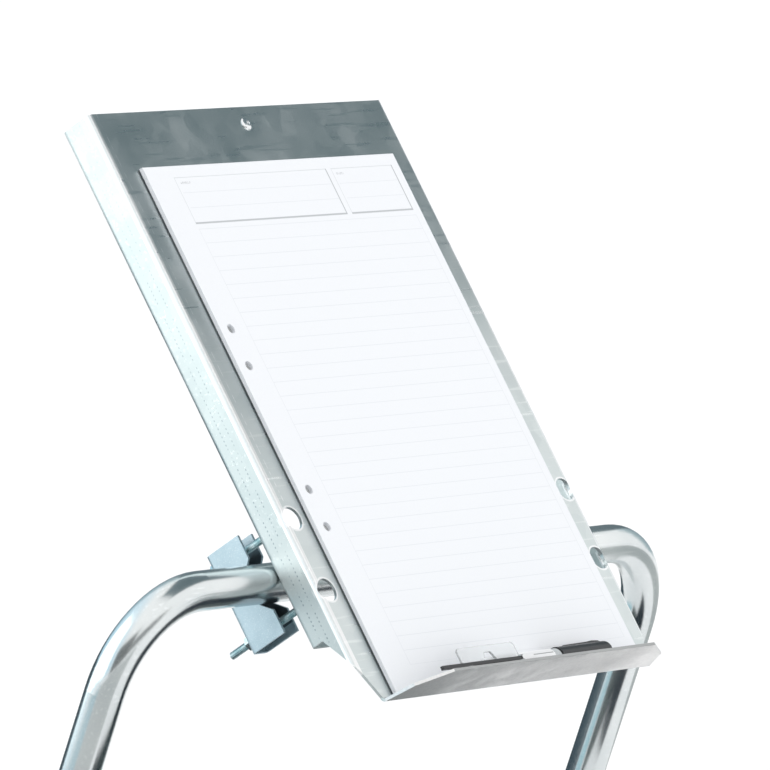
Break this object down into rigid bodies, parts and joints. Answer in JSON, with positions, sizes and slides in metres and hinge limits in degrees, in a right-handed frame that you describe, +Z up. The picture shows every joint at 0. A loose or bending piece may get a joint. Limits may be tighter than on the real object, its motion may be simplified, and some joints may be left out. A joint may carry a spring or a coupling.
{
  "type": "tilting writing board",
  "caption": "Sloping sheet-metal writing board with paper pad and shelf, clamped by saddles to a bent tube handle so that it tilts; marker and folded spectacles lie on the shelf.",
  "frame": {"origin": "midway between the centres of the handle's two cut leg ends, where the trolley holds it", "axes": "+X along the rail to the user's right, +Y away from the user, +Z up"},
  "size_m": [0.467, 0.2148, 0.3993],
  "materials": {
    "bright_zinc_tube": "bright zinc plate",
    "galvanised_sheet": "galvanised, faint spangle",
    "steel_rivet": "bright",
    "zinc_saddle": "dull blue zinc",
    "fastener_zinc": "blue zinc plate",
    "grey_card": "matt",
    "paper": "matt",
    "white_plastic": "gloss",
    "grey_plastic": "satin",
    "black_plastic": "satin",
    "black_felt": "felt",
    "clear_plastic": "clear"
  },
  "bodies": {
    "handle": {"handle_tube": "bright_zinc_tube"},
    "board": {"panel": "galvanised_sheet", "head_rivet": "steel_rivet", "screw_left_upper": "fastener_zinc", "screw_left_lower": "fastener_zinc", "screw_right_upper": "fastener_zinc", "screw_right_lower": "fastener_zinc"},
    "left_saddle": {"saddle_left": "zinc_saddle"},
    "right_saddle": {"saddle_right": "zinc_saddle"},
    "left_upper_nut": {"nut_left_upper": "fastener_zinc"},
    "left_lower_nut": {"nut_left_lower": "fastener_zinc"},
    "right_upper_nut": {"nut_right_upper": "fastener_zinc"},
    "right_lower_nut": {"nut_right_lower": "fastener_zinc"},
    "pad": {"pad_backing": "grey_card", "pad_block": "paper", "top_sheet": "paper"},
    "marker": {"marker_barrel": "white_plastic", "marker_plug": "white_plastic", "marker_collar": "grey_plastic", "marker_nib": "black_felt"},
    "cap": {"marker_cap": "black_plastic"},
    "glasses": {"glasses_front": "clear_plastic", "glasses_pin_left": "fastener_zinc", "glasses_pin_right": "fastener_zinc"},
    "left_arm": {"glasses_arm_left": "black_plastic"},
    "right_arm": {"glasses_arm_right": "black_plastic"}
  },
  "joints": [
    {"name": "board_tilt", "type": "hinge", "parent": "handle", "child": "board", "pos_m": [0, -0.06509, 0.16782], "axis": [1, 0, 0], "range_deg": [-48, 30]},
    {"name": "left_saddle_back", "type": "slide", "parent": "board", "child": "left_saddle", "axis": [0, 0.8499, -0.527], "range_m": [0, 0.006]},
    {"name": "left_upper_nut_turn", "type": "hinge", "parent": "left_saddle", "child": "left_upper_nut", "pos_m": [-0.1162, -0.03366, 0.17186], "axis": [0, 0.8499, -0.527], "continuous": true},
    {"name": "left_lower_nut_turn", "type": "hinge", "parent": "left_saddle", "child": "left_lower_nut", "pos_m": [-0.1162, -0.05474, 0.13787], "axis": [0, 0.8499, -0.527], "continuous": true},
    {"name": "right_saddle_back", "type": "slide", "parent": "board", "child": "right_saddle", "axis": [0, 0.8499, -0.527], "range_m": [0, 0.006]},
    {"name": "right_upper_nut_turn", "type": "hinge", "parent": "right_saddle", "child": "right_upper_nut", "pos_m": [0.1162, -0.03366, 0.17186], "axis": [0, 0.8499, -0.527], "continuous": true},
    {"name": "right_lower_nut_turn", "type": "hinge", "parent": "right_saddle", "child": "right_lower_nut", "pos_m": [0.1162, -0.05474, 0.13787], "axis": [0, 0.8499, -0.527], "continuous": true},
    {"name": "pad_off", "type": "slide", "parent": "board", "child": "pad", "axis": [0, -0.8499, 0.527], "range_m": [0, 0.06]},
    {"name": "marker_up", "type": "slide", "parent": "pad", "child": "marker", "axis": [0, 0.527, 0.8499], "range_m": [0, 0.08]},
    {"name": "cap_pull", "type": "slide", "parent": "marker", "child": "cap", "axis": [1, 0, 0], "range_m": [0, 0.05]},
    {"name": "glasses_up", "type": "slide", "parent": "pad", "child": "glasses", "axis": [0, 0.527, 0.8499], "range_m": [0, 0.08]},
    {"name": "left_arm_open", "type": "hinge", "parent": "glasses", "child": "left_arm", "pos_m": [-0.0604, -0.14759, 0.12566], "axis": [0, -0.527, -0.8499], "range_deg": [0, 90]},
    {"name": "right_arm_open", "type": "hinge", "parent": "glasses", "child": "right_arm", "pos_m": [-0.0162, -0.14627, 0.12779], "axis": [0, 0.527, 0.8499], "range_deg": [0, 90]}
  ]
}
